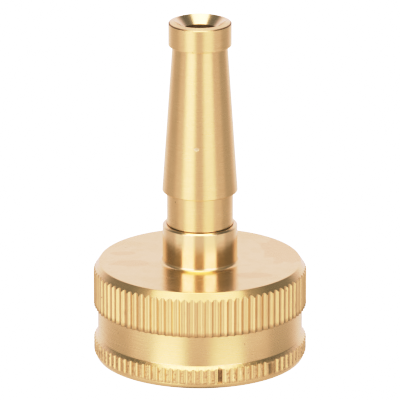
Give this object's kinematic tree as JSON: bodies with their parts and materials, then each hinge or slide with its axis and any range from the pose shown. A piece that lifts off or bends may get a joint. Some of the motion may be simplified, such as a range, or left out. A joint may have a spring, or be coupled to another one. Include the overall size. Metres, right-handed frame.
{
  "type": "fire hose nozzle",
  "caption": "Turned-brass straight-stream hose nozzle: a tapered jet tube that swivels in a knurled coupling nut with a female hose thread and a flat rubber washer.",
  "frame": {"origin": "centre of the coupling nut's bottom face, on the nozzle's axis", "axes": "+Z along the axis towards the outlet; X and Y are free, because the outside is round"},
  "size_m": [0.032, 0.032, 0.0524],
  "materials": {
    "nut_brass": "turned, satin to bright",
    "tube_brass": "turned, satin",
    "o_ring_rubber": "smooth",
    "thrust_acetal": "smooth",
    "spring_steel": "stamped",
    "washer_rubber": "matt"
  },
  "bodies": {
    "coupling": {"coupling_nut": "nut_brass", "hose_washer": "washer_rubber"},
    "tube": {"nozzle_tube": "tube_brass", "tube_o_ring": "o_ring_rubber", "thrust_washer": "thrust_acetal", "retaining_clip": "spring_steel"}
  },
  "joints": [
    {"name": "coupling_swivel", "type": "hinge", "parent": "coupling", "child": "tube", "pos_m": [0, 0, 0.0165], "axis": [0, 0, 1], "continuous": true}
  ]
}
